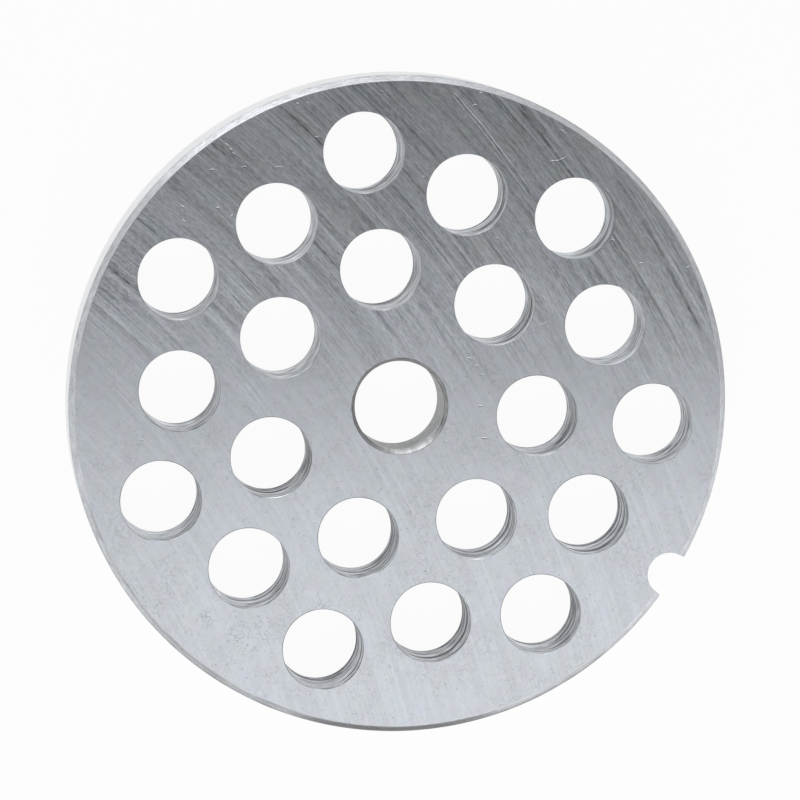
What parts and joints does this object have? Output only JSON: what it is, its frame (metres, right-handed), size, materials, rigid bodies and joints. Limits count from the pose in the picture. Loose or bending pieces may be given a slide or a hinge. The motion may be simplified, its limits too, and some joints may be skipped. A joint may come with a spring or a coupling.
{
  "type": "meat grinder plate",
  "caption": "Flat round steel die for a meat grinder, drilled with rings of large holes, with a chamfered rim, a centre bore and a round locating notch in the rim.",
  "frame": {"origin": "on the axis of the bore, level with the back face that the plate lies on", "axes": "+Z along the bore out of the cutting face; the locating notch points along -Y; +X is to the right of the notch seen from the cutting face"},
  "size_m": [0.098, 0.0979, 0.0097],
  "materials": {
    "ground_steel": "surface ground, satin"
  },
  "bodies": {
    "root": {"grinder_plate": "ground_steel"}
  },
  "joints": []
}
